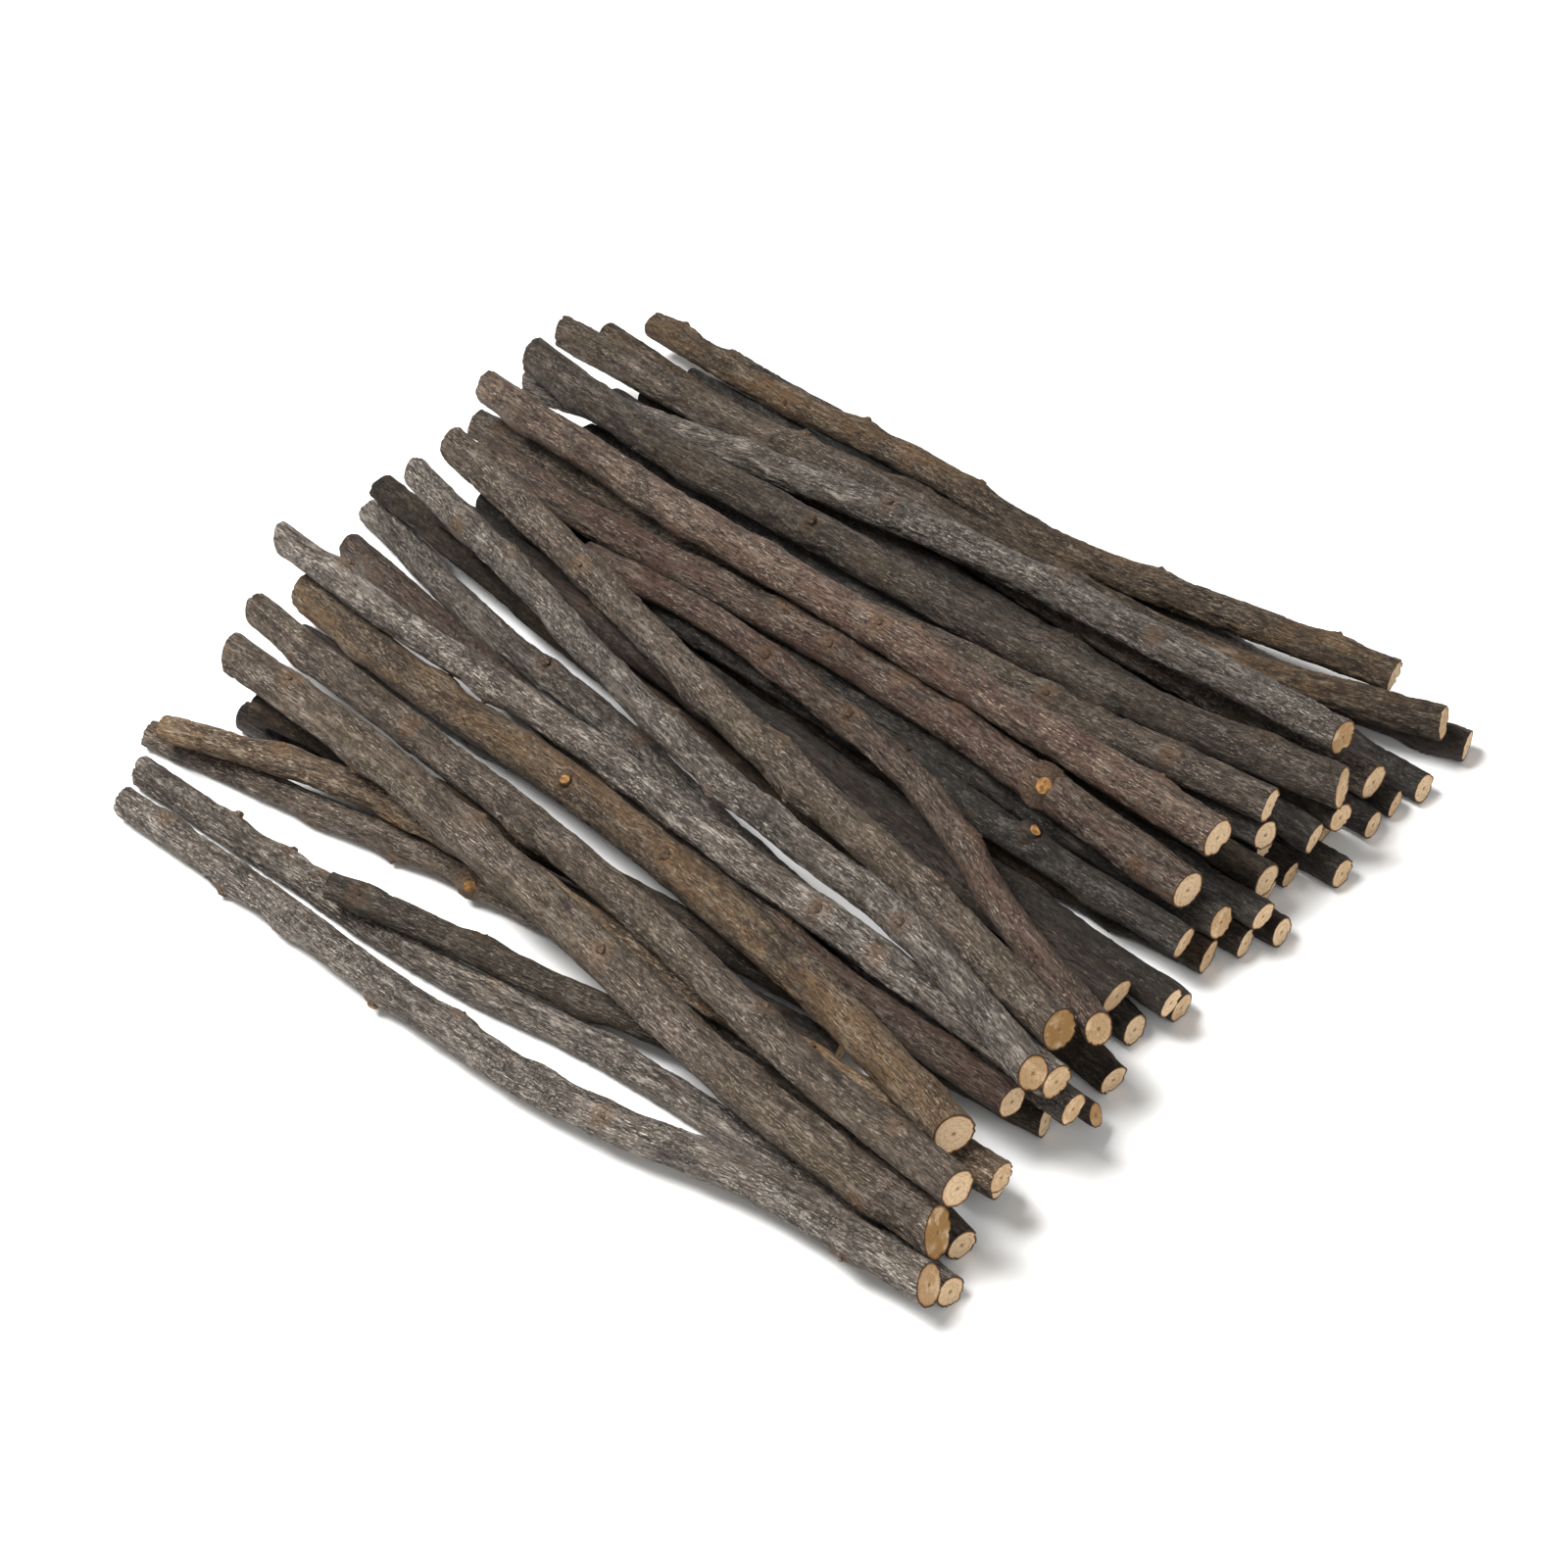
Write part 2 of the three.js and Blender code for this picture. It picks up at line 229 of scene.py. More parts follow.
def bark_tree():
    """Sweeps a rod along its path, raises the bark on it, saws its ends and sets its stubs."""
    tree, given = new_tree("Bark on a rod", [
        ("Sides", "NodeSocketInt", 44),
        ("Rings", "NodeSocketInt", 370),
        ("Stubs", "NodeSocketObject", None),
        ("Length", "NodeSocketFloat", 0.2),
        ("Chord", "NodeSocketVector", (1, 0, 0)),
        ("Seed", "NodeSocketFloat", 0.0),
        ("Tone", "NodeSocketFloat", 1.0),
        ("Stain", "NodeSocketFloat", 0.0),
        ("Thin slant", "NodeSocketVector", (0, 0, 0)),
        ("Butt slant", "NodeSocketVector", (0, 0, 0)),
        ("Swelling", "NodeSocketFloat", 0.5 * MM),
        ("Crack depth", "NodeSocketFloat", 0.35 * MM),
        ("Flake height", "NodeSocketFloat", 0.15 * MM),
        ("Grit height", "NodeSocketFloat", 0.12 * MM),
        ("Knot swelling", "NodeSocketFloat", 0.7 * MM),
        ("Wander", "NodeSocketFloat", 0.4 * MM),
        ("Bark", "NodeSocketMaterial", None),
        ("Sawn wood", "NodeSocketMaterial", None),
        ("Healed scar", "NodeSocketMaterial", None),
    ])
    g = given.outputs
    math_node, vector_node = "ShaderNodeMath", "ShaderNodeVectorMath"

    # The swept rod. round is the direction from the pith, and thick the radius.
    path = add(tree, "GeometryNodeMeshToCurve", {"Mesh": g["Geometry"]})
    path = add(tree, "GeometryNodeResampleCurve", {"Curve": path, "Count": g["Rings"]})
    circle = add(tree, "GeometryNodeCurvePrimitiveCircle", {"Resolution": g["Sides"], "Radius": 1.0})
    place = add(tree, "GeometryNodeInputPosition")
    circle = add(tree, "GeometryNodeStoreNamedAttribute",
                 {"Geometry": circle, "Name": "round", "Value": place},
                 data_type="FLOAT_VECTOR", domain="POINT")
    thick = add(tree, "GeometryNodeInputNamedAttribute", {"Name": "thick"}, data_type="FLOAT")
    rod = add(tree, "GeometryNodeCurveToMesh",
              {"Curve": path, "Profile Curve": circle, "Scale": thick, "Fill Caps": True})

    # grain is the place on the twig as if it were straight, moved to a bit of bark of its own.
    along = add(tree, "GeometryNodeInputNamedAttribute", {"Name": "along"}, data_type="FLOAT")
    around = add(tree, "GeometryNodeInputNamedAttribute", {"Name": "round"}, data_type="FLOAT_VECTOR")
    core = add(tree, vector_node, {0: around, "Scale": thick}, operation="SCALE")
    parts = add(tree, "ShaderNodeSeparateXYZ", {0: core}, out=None).outputs
    straight = add(tree, "ShaderNodeCombineXYZ", {0: along, 1: parts[0], 2: parts[1]})
    own = add(tree, "ShaderNodeCombineXYZ", {0: g["Seed"], 1: g["Seed"], 2: 0.0})
    grain = add(tree, vector_node, {0: straight, 1: own}, operation="ADD")
    rod = add(tree, "GeometryNodeStoreNamedAttribute", {"Geometry": rod, "Name": "grain", "Value": grain},
              data_type="FLOAT_VECTOR", domain="POINT")
    grain = add(tree, "GeometryNodeInputNamedAttribute", {"Name": "grain"}, data_type="FLOAT_VECTOR")

    # Long splits between the ribs of the bark, in patches, and thin plates that stand off it.
    split = streaks(tree, grain, 11 * MM, 1.5 * MM, 2.0, shift=0.3)
    split = add(tree, math_node, {0: split, 1: 0.5}, operation="SUBTRACT")
    split = add(tree, math_node, {0: split}, operation="ABSOLUTE")
    split = add(tree, RAMP, {0: split, 1: 0.0, 2: 0.05, 3: 1.0, 4: 0.0}, **SMOOTH)
    patch = streaks(tree, grain, 22 * MM, 9 * MM, 1.0, shift=1.1)
    patch = add(tree, RAMP, {0: patch, 1: 0.42, 2: 0.6}, **SMOOTH)
    crack = add(tree, math_node, {0: split, 1: patch}, operation="MULTIPLY")
    flake = streaks(tree, grain, 7 * MM, 2.2 * MM, 4.0, shift=2.3)
    flake = add(tree, RAMP, {0: flake, 1: 0.5, 2: 0.57}, **SMOOTH)
    rod = add(tree, "GeometryNodeStoreNamedAttribute", {"Geometry": rod, "Name": "crack", "Value": crack},
              data_type="FLOAT", domain="POINT")
    rod = add(tree, "GeometryNodeStoreNamedAttribute", {"Geometry": rod, "Name": "flake", "Value": flake},
              data_type="FLOAT", domain="POINT")
    crack = add(tree, "GeometryNodeInputNamedAttribute", {"Name": "crack"}, data_type="FLOAT")
    flake = add(tree, "GeometryNodeInputNamedAttribute", {"Name": "flake"}, data_type="FLOAT")

    # The twig swells round each bud and scar.
    stubs = add(tree, "GeometryNodeObjectInfo", {"Object": g["Stubs"]}, out=None).outputs["Geometry"]
    near = add(tree, "GeometryNodeProximity", {0: stubs}, out=None, target_element="POINTS")
    near = near.outputs["Distance"]
    knot = add(tree, RAMP, {0: near, 1: 1.2 * MM, 2: 7 * MM, 3: 1.0, 4: 0.0}, **SMOOTH)
    rod = add(tree, "GeometryNodeStoreNamedAttribute", {"Geometry": rod, "Name": "knot", "Value": knot},
              data_type="FLOAT", domain="POINT")
    knot = add(tree, "GeometryNodeInputNamedAttribute", {"Name": "knot"}, data_type="FLOAT")

    # The height of the bark over the rod.
    height = streaks(tree, grain, 26 * MM, 14 * MM, 2.0, shift=3.7)
    height = add(tree, math_node, {0: height, 1: 0.5}, operation="SUBTRACT")
    height = add(tree, math_node, {0: height, 1: g["Swelling"]}, operation="MULTIPLY")
    sunk = add(tree, math_node, {0: g["Crack depth"], 1: -1.0}, operation="MULTIPLY")
    height = add(tree, math_node, {0: crack, 1: sunk, 2: height}, operation="MULTIPLY_ADD")
    height = add(tree, math_node, {0: flake, 1: g["Flake height"], 2: height}, operation="MULTIPLY_ADD")
    grit = streaks(tree, grain, 2.6 * MM, 1.1 * MM, 3.0, shift=5.1)
    grit = add(tree, math_node, {0: grit, 1: 0.5}, operation="SUBTRACT")
    height = add(tree, math_node, {0: grit, 1: g["Grit height"], 2: height}, operation="MULTIPLY_ADD")
    height = add(tree, math_node, {0: knot, 1: g["Knot swelling"], 2: height}, operation="MULTIPLY_ADD")
    normal = add(tree, "GeometryNodeInputNormal")
    lift = add(tree, vector_node, {0: normal, "Scale": height}, operation="SCALE")

    # The middle line wanders a little more than the rod does.
    station = add(tree, math_node, {0: along, 1: g["Seed"]}, operation="ADD")
    station = add(tree, "ShaderNodeCombineXYZ", {0: station, 1: 0.0, 2: 0.0})
    drift = add(tree, "ShaderNodeTexNoise", {"Vector": station, "Scale": DRIFT_SCALE, "Detail": 1.0}, out=1)
    drift = add(tree, vector_node, {0: drift, 1: (0.5, 0.5, 0.5)}, operation="SUBTRACT")
    twice = add(tree, math_node, {0: g["Wander"], 1: 2.0}, operation="MULTIPLY")
    drift = add(tree, vector_node, {0: drift, "Scale": twice}, operation="SCALE")
    move = add(tree, vector_node, {0: lift, 1: drift}, operation="ADD")

    # The saw leans at the two ends.
    ends = (("Thin slant", 0.0, (1.0, 0.0)), ("Butt slant", 1 - SAW_LEAN_SHARE, (0.0, 1.0)))
    for slant, start, strength in ends:
        lean = add(tree, vector_node, {0: core, 1: g[slant]}, out=1, operation="DOT_PRODUCT")
        share = add(tree, math_node, {0: along, 1: g["Length"]}, operation="DIVIDE")
        limits = {1: start, 2: start + SAW_LEAN_SHARE, 3: strength[0], 4: strength[1]}
        fade = add(tree, RAMP, {0: share, **limits}, **SMOOTH)
        lean = add(tree, math_node, {0: lean, 1: fade}, operation="MULTIPLY")
        lean = add(tree, vector_node, {0: g["Chord"], "Scale": lean}, operation="SCALE")
        move = add(tree, vector_node, {0: move, 1: lean}, operation="ADD")
    rod = add(tree, "GeometryNodeSetPosition", {"Geometry": rod, "Offset": move})

    # Each sawn face is inset ring by ring to its pith.
    for scale in INSETS:
        corners = add(tree, "GeometryNodeInputMeshFaceNeighbors")
        sawn = add(tree, math_node, {0: corners, 1: QUAD_CORNERS + 0.5}, operation="GREATER_THAN")
        inset = add(tree, "GeometryNodeExtrudeMesh",
                    {"Mesh": rod, "Selection": sawn, "Offset Scale": 0.0, "Individual": True}, out=None)
        rod = add(tree, "GeometryNodeScaleElements",
                  {"Geometry": inset.outputs[0], "Selection": inset.outputs[1], "Scale": scale})
        inward = add(tree, vector_node, {0: around, "Scale": scale}, operation="SCALE")
        rod = add(tree, "GeometryNodeStoreNamedAttribute",
                  {"Geometry": rod, "Selection": inset.outputs[1], "Name": "round", "Value": inward},
                  data_type="FLOAT_VECTOR", domain="POINT")

    # Saw marks on the faces, inside the bark.
    inside = add(tree, vector_node, {0: around}, out=1, operation="LENGTH")
    inside = add(tree, math_node, {0: inside, 1: SAW_RIM}, operation="LESS_THAN")
    teeth = add(tree, vector_node, {0: core, 1: (1 / (0.9 * MM), 1 / (3 * MM), 1.0)}, operation="MULTIPLY")
    teeth = add(tree, "ShaderNodeTexNoise", {"Vector": teeth, "Scale": 1.0, "Detail": 2.0})
    teeth = add(tree, math_node, {0: teeth, 1: 0.5}, operation="SUBTRACT")
    teeth = add(tree, math_node, {0: teeth, 1: SAW_TEETH}, operation="MULTIPLY")
    teeth = add(tree, vector_node, {0: g["Chord"], "Scale": teeth}, operation="SCALE")
    rod = add(tree, "GeometryNodeSetPosition", {"Geometry": rod, "Selection": inside, "Offset": teeth})

    # The faces at the two ends of the twig are marked as sawn.
    half = add(tree, math_node, {0: g["Length"], 1: 0.5}, operation="MULTIPLY")
    away = add(tree, math_node, {0: along, 1: half}, operation="SUBTRACT")
    away = add(tree, math_node, {0: away}, operation="ABSOLUTE")
    limit = add(tree, math_node, {0: half, 1: END_MARGIN}, operation="SUBTRACT")
    at_end = add(tree, math_node, {0: away, 1: limit}, operation="GREATER_THAN")
    rod = add(tree, "GeometryNodeStoreNamedAttribute", {"Geometry": rod, "Name": "sawn", "Value": at_end},
              data_type="FLOAT", domain="FACE")

    # The stubs of buds and side shoots, each a flared peg with a healed top.
    peg = add(tree, "GeometryNodeMeshCylinder",
              {"Vertices": 14, "Side Segments": 5, "Fill Segments": 3, "Radius": 0.5, "Depth": 1.0}, out=None)
    stub = add(tree, "GeometryNodeStoreNamedAttribute",
               {"Geometry": peg.outputs["Mesh"], "Name": "healed", "Value": peg.outputs["Top"]},
               data_type="FLOAT", domain="FACE")
    spot = add(tree, "ShaderNodeSeparateXYZ", {0: place}, out=None).outputs
    flare = add(tree, RAMP, {0: spot[2], 1: -0.5, 2: 0.3, 3: 2.0, 4: 0.9}, **SMOOTH)
    crown = add(tree, RAMP, {0: spot[2], 1: 0.3, 2: 0.5, 3: 1.0, 4: 0.75}, **SMOOTH)
    flare = add(tree, math_node, {0: flare, 1: crown}, operation="MULTIPLY")
    wide = add(tree, "ShaderNodeCombineXYZ", {0: flare, 1: flare, 2: 1.0})
    shaped = add(tree, vector_node, {0: place, 1: wide}, operation="MULTIPLY")
    stub = add(tree, "GeometryNodeSetPosition", {"Geometry": stub, "Position": shaped})
    outward = add(tree, "GeometryNodeInputNamedAttribute", {"Name": "outward"}, data_type="FLOAT_VECTOR")
    wide = add(tree, "GeometryNodeInputNamedAttribute", {"Name": "wide"}, data_type="FLOAT_VECTOR")
    turned = add(tree, "FunctionNodeAlignRotationToVector", {"Vector": outward}, axis="Z")
    stub = add(tree, "GeometryNodeInstanceOnPoints",
               {"Points": stubs, "Instance": stub, "Rotation": turned, "Scale": wide})
    stub = add(tree, "GeometryNodeRealizeInstances", {"Geometry": stub})
    dents = add(tree, "ShaderNodeTexNoise", {"Vector": place, "Scale": 1 / (1.6 * MM), "Detail": 2.0}, out=1)
    dents = add(tree, vector_node, {0: dents, 1: (0.5, 0.5, 0.5)}, operation="SUBTRACT")
    dents = add(tree, vector_node, {0: dents, "Scale": 0.9 * MM}, operation="SCALE")
    stub = add(tree, "GeometryNodeSetPosition", {"Geometry": stub, "Offset": dents})
    stub = add(tree, "GeometryNodeStoreNamedAttribute", {"Geometry": stub, "Name": "grain", "Value": place},
               data_type="FLOAT_VECTOR", domain="POINT")
    stub = add(tree, "GeometryNodeStoreNamedAttribute", {"Geometry": stub, "Name": "knot", "Value": 1.0},
               data_type="FLOAT", domain="POINT")

    both = tree.nodes.new("GeometryNodeJoinGeometry")
    tree.links.new(stub, both.inputs[0])
    tree.links.new(rod, both.inputs[0])
    whole = both.outputs[0]

    # Nothing sinks below the surface that the pile lies on.
    spot = add(tree, "ShaderNodeSeparateXYZ", {0: place}, out=None).outputs
    above = add(tree, math_node, {0: spot[2], 1: 0.0}, operation="MAXIMUM")
    above = add(tree, "ShaderNodeCombineXYZ", {0: spot[0], 1: spot[1], 2: above})
    whole = add(tree, "GeometryNodeSetPosition", {"Geometry": whole, "Position": above})
    # The tone is each twig's lightness; on the buried twigs it also carries painted shade.
    for label, value in (("tone", g["Tone"]), ("stain", g["Stain"])):
        whole = add(tree, "GeometryNodeStoreNamedAttribute",
                    {"Geometry": whole, "Name": label, "Value": value},
                    data_type="FLOAT", domain="POINT")
    whole = add(tree, "GeometryNodeSetShadeSmooth", {"Geometry": whole})

    # Bark all over, sawn wood at the ends and bare scar wood on the wider stubs.
    sawn = add(tree, "GeometryNodeInputNamedAttribute", {"Name": "sawn"}, data_type="FLOAT")
    sawn = add(tree, math_node, {0: sawn, 1: 0.5}, operation="GREATER_THAN")
    healed = add(tree, "GeometryNodeInputNamedAttribute", {"Name": "healed"}, data_type="FLOAT")
    spread = add(tree, "GeometryNodeInputNamedAttribute", {"Name": "wide"}, data_type="FLOAT_VECTOR")
    spread = add(tree, "ShaderNodeSeparateXYZ", {0: spread}, out=None).outputs[0]
    spread = add(tree, math_node, {0: spread, 1: SCAR_WOOD_WIDTH}, operation="GREATER_THAN")
    healed = add(tree, math_node, {0: healed, 1: spread}, operation="MULTIPLY")
    healed = add(tree, math_node, {0: healed, 1: 0.5}, operation="GREATER_THAN")
    whole = add(tree, "GeometryNodeRealizeInstances", {"Geometry": whole})
    whole = add(tree, "GeometryNodeSetMaterial", {"Geometry": whole, "Material": g["Bark"]})
    whole = add(tree, "GeometryNodeSetMaterial",
                {"Geometry": whole, "Selection": sawn, "Material": g["Sawn wood"]})
    whole = add(tree, "GeometryNodeSetMaterial",
                {"Geometry": whole, "Selection": healed, "Material": g["Healed scar"]})
    last = tree.nodes.new("NodeGroupOutput")
    tree.links.new(whole, last.inputs[0])
    return tree


# ---------------------------------------------------------------- materials

def new_material(name):
    """An empty material; gives the material, its tree and its shader."""
    material = bpy.data.materials.new(name)
    material.use_nodes = True
    tree = material.node_tree
    tree.nodes.clear()
    shader = tree.nodes.new("ShaderNodeBsdfPrincipled")
    end = tree.nodes.new("ShaderNodeOutputMaterial")
    tree.links.new(shader.outputs[0], end.inputs["Surface"])
    return material, tree, shader


def bark_material(name, dark, mid, light, tint, tint_share, flake_share, cross_share, gloss):
    """Dry bark of a cut twig, weathered: a dark ribbed skin with paler flakes that lift off in
    streaks along the twig, near-black splits, pale breathing pores and patches of another tone."""
    material, tree, shader = new_material(name)
    mix, vector_node, math_node = "ShaderNodeMix", "ShaderNodeVectorMath", "ShaderNodeMath"
    grain = add(tree, "ShaderNodeAttribute", out=1, attribute_name="grain")
    crack = add(tree, "ShaderNodeAttribute", out=2, attribute_name="crack")
    flake = add(tree, "ShaderNodeAttribute", out=2, attribute_name="flake")
    knot = add(tree, "ShaderNodeAttribute", out=2, attribute_name="knot")
    tone = add(tree, "ShaderNodeAttribute", out=2, attribute_name="tone")

    # Broad patches of another tone under soft streaks 1.3 mm wide.
    streak = streaks(tree, grain, 9 * MM, 1.3 * MM, 6.0, 0.75)
    streak = add(tree, RAMP, {0: streak, 1: 0.3, 2: 0.72}, **SMOOTH)
    colour = add(tree, mix, {0: streak, 6: (*dark, 1), 7: (*mid, 1)}, out=2, data_type="RGBA")
    patch = streaks(tree, grain, 38 * MM, 10 * MM, 4.0)
    patch = add(tree, RAMP, {0: patch, 1: 0.46, 2: 0.6, 3: 0.0, 4: tint_share}, **SMOOTH)
    colour = add(tree, mix, {0: patch, 6: colour, 7: (*tint, 1)}, out=2, data_type="RGBA")

    # Flakes 2 mm wide, broken up by a finer noise, and a silvery grain of fibres 0.25 mm wide.
    broken = streaks(tree, grain, 3 * MM, 0.6 * MM, 6.0, 0.75)
    broken = add(tree, RAMP, {0: broken, 1: 0.47, 2: 0.54}, **SMOOTH)
    pale = add(tree, math_node, {0: flake, 1: broken}, operation="MULTIPLY")
    pale = add(tree, math_node, {0: pale, 1: flake_share}, operation="MULTIPLY")
    fibre = streaks(tree, grain, 1.2 * MM, 0.22 * MM, 4.0, 0.7)
    silver = add(tree, RAMP, {0: fibre, 1: 0.53, 2: 0.59, 3: 0.0, 4: 0.9}, **SMOOTH)
    spread = streaks(tree, grain, 14 * MM, 4 * MM, 3.0)
    spread = add(tree, RAMP, {0: spread, 1: 0.35, 2: 0.62, 3: 0.25, 4: 1.0}, **SMOOTH)
    silver = add(tree, math_node, {0: silver, 1: spread}, operation="MULTIPLY")
    pale = add(tree, math_node, {0: pale, 1: silver}, operation="MAXIMUM")
    colour = add(tree, mix, {0: pale, 6: colour, 7: (*light, 1)}, out=2, data_type="RGBA")
    shade = add(tree, RAMP, {0: fibre, 1: 0.36, 2: 0.47, 3: 0.65, 4: 0.0}, **SMOOTH)
    colour = add(tree, mix, {0: shade, 6: colour, 7: (*dark, 1)}, out=2, data_type="RGBA")

    # Breathing pores, 0.3 mm wide and about 3.5 mm apart.
    cell = add(tree, vector_node, {0: grain, 1: (1 / (4.0 * MM), 1 / (3.0 * MM), 1 / (3.0 * MM))},
               operation="MULTIPLY")
    pore = add(tree, "ShaderNodeTexVoronoi", {"Vector": cell, "Scale": 1.0, "Randomness": 1.0})
    pore = add(tree, RAMP, {0: pore, 1: 0.04, 2: 0.1, 3: 0.6, 4: 0.0}, **SMOOTH)
    colour = add(tree, mix, {0: pore, 6: colour, 7: (*linear("#a08f76"), 1)}, out=2, data_type="RGBA")

    # The splits, the fine cracks between fibres and the skin of the knots.
    fine = streaks(tree, grain, 7 * MM, 0.7 * MM, 3.0)
    fine = add(tree, math_node, {0: fine, 1: 0.5}, operation="SUBTRACT")
    fine = add(tree, math_node, {0: fine}, operation="ABSOLUTE")
    fine = add(tree, RAMP, {0: fine, 1: 0.0, 2: 0.03, 3: 0.7, 4: 0.0}, **SMOOTH)
    cross = streaks(tree, grain, 1.3 * MM, 3.2 * MM, 3.0)
    cross = add(tree, math_node, {0: cross, 1: 0.5}, operation="SUBTRACT")
    cross = add(tree, math_node, {0: cross}, operation="ABSOLUTE")
    cross = add(tree, RAMP, {0: cross, 1: 0.0, 2: 0.022, 3: 0.85, 4: 0.0}, **SMOOTH)
    spread = streaks(tree, grain, 30 * MM, 12 * MM, 1.0)
    spread = add(tree, RAMP, {0: spread, 1: 0.48, 2: 0.62, 3: 0.0, 4: cross_share}, **SMOOTH)
    cross = add(tree, math_node, {0: cross, 1: spread}, operation="MULTIPLY")
    fine = add(tree, math_node, {0: fine, 1: cross}, operation="MAXIMUM")
    deep = add(tree, math_node, {0: crack, 1: 0.75}, operation="MULTIPLY")
    dark_lines = add(tree, math_node, {0: deep, 1: fine}, operation="MAXIMUM")
    colour = add(tree, mix, {0: dark_lines, 6: colour, 7: (*linear("#1b1611"), 1)}, out=2, data_type="RGBA")
    skin = add(tree, RAMP, {0: knot, 1: 0.75, 2: 1.0, 3: 0.0, 4: 0.35}, **SMOOTH)
    colour = add(tree, mix, {0: skin, 6: colour, 7: (*linear("#6b4f35"), 1)}, out=2, data_type="RGBA")
    # The tone darkens each twig's bark; on the buried twigs part of this darkening is painted shade.
    colour = add(tree, mix, {0: 1.0, 6: colour, 7: tone}, out=2, data_type="RGBA", blend_type="MULTIPLY")
    tree.links.new(colour, shader.inputs["Base Color"])

    rough = add(tree, RAMP, {0: pale, 1: 0.0, 2: 1.0, 3: gloss, 4: 0.95}, **SMOOTH)
    tree.links.new(rough, shader.inputs["Roughness"])
    shader.inputs["IOR"].default_value = 1.45
    shader.inputs["Specular IOR Level"].default_value = 0.35
    relief = add(tree, math_node, {0: fibre, 1: dark_lines}, operation="SUBTRACT")
    relief = add(tree, math_node, {0: pale, 1: 0.5, 2: relief}, operation="MULTIPLY_ADD")
    bump = add(tree, "ShaderNodeBump", {"Strength": 0.9, "Distance": 0.28 * MM, "Height": relief})
    tree.links.new(bump, shader.inputs["Normal"])
    return material


def sawn_material():
    """Sapwood cut with a fine saw: pale and matt, with two or three growth rings, a small brown
    pith, a thin brown line of inner bark at the rim and yellow-brown stains."""
    material, tree, shader = new_material("Sawn sapwood")
    mix, vector_node, math_node = "ShaderNodeMix", "ShaderNodeVectorMath", "ShaderNodeMath"
    around = add(tree, "ShaderNodeAttribute", out=1, attribute_name="round")
    thick = add(tree, "ShaderNodeAttribute", out=2, attribute_name="thick")
    stain = add(tree, "ShaderNodeAttribute", out=2, attribute_name="stain")
    tone = add(tree, "ShaderNodeAttribute", out=2, attribute_name="tone")
    place = add(tree, vector_node, {0: around, "Scale": thick}, operation="SCALE")
    place = add(tree, vector_node, {0: place, 1: tone}, operation="ADD")
    share = add(tree, vector_node, {0: around}, out=1, operation="LENGTH")
    radius = add(tree, math_node, {0: share, 1: thick}, operation="MULTIPLY")

    # Growth rings 1.3 mm apart, a little out of round.
    blot = add(tree, vector_node, {0: place, "Scale": 1 / (2.6 * MM)}, operation="SCALE")
    blot = add(tree, "ShaderNodeTexNoise", {"Vector": blot, "Scale": 1.0, "Detail": 4.0})
    turns = add(tree, math_node, {0: radius, 1: 1 / (1.3 * MM), 2: blot}, operation="MULTIPLY_ADD")
    turns = add(tree, math_node, {0: turns, 1: 1.0}, operation="FRACT")
    ring = add(tree, RAMP, {0: turns, 1: 0.45, 2: 0.95, 3: 0.0, 4: 0.3}, **SMOOTH)
    colour = add(tree, mix, {0: ring, 6: (*linear("#dec29e"), 1), 7: (*linear("#b8966c"), 1)},
                 out=2, data_type="RGBA")
    worn = add(tree, RAMP, {0: blot, 1: 0.3, 2: 0.55}, **SMOOTH)
    worn = add(tree, math_node, {0: worn, 1: stain}, operation="MULTIPLY")
    colour = add(tree, mix, {0: worn, 6: colour, 7: (*linear("#9c7035"), 1)}, out=2, data_type="RGBA")

    # Fibre ends, 0.3 mm across.
    fibre = add(tree, vector_node, {0: place, "Scale": 1 / (0.35 * MM)}, operation="SCALE")
    fibre = add(tree, "ShaderNodeTexNoise", {"Vector": fibre, "Scale": 1.0, "Detail": 3.0})
    speck = add(tree, RAMP, {0: fibre, 1: 0.5, 2: 0.68, 3: 0.0, 4: 0.6}, **SMOOTH)
    colour = add(tree, mix, {0: speck, 6: colour, 7: (*linear("#90714c"), 1)}, out=2, data_type="RGBA")

    # The pith, 0.7 mm across, and the bark's edge.
    pith = add(tree, RAMP, {0: radius, 1: 0.25 * MM, 2: 0.5 * MM, 3: 0.85, 4: 0.0}, **SMOOTH)
    colour = add(tree, mix, {0: pith, 6: colour, 7: (*linear("#7d5a36"), 1)}, out=2, data_type="RGBA")
    rim = add(tree, math_node, {0: blot, 1: 0.1, 2: share}, operation="MULTIPLY_ADD")
    inner = add(tree, RAMP, {0: rim, 1: 0.9, 2: 0.95}, **SMOOTH)
    colour = add(tree, mix, {0: inner, 6: colour, 7: (*linear("#8d6238"), 1)}, out=2, data_type="RGBA")
    outer = add(tree, RAMP, {0: rim, 1: 0.97, 2: 1.0}, **SMOOTH)
    colour = add(tree, mix, {0: outer, 6: colour, 7: (*linear("#35291e"), 1)}, out=2, data_type="RGBA")
    tree.links.new(colour, shader.inputs["Base Color"])
    shader.inputs["Roughness"].default_value = 0.82
    shader.inputs["IOR"].default_value = 1.45
    shader.inputs["Specular IOR Level"].default_value = 0.3
    bump = add(tree, "ShaderNodeBump", {"Strength": 0.7, "Distance": 0.2 * MM, "Height": fibre})
    tree.links.new(bump, shader.inputs["Normal"])
    return material


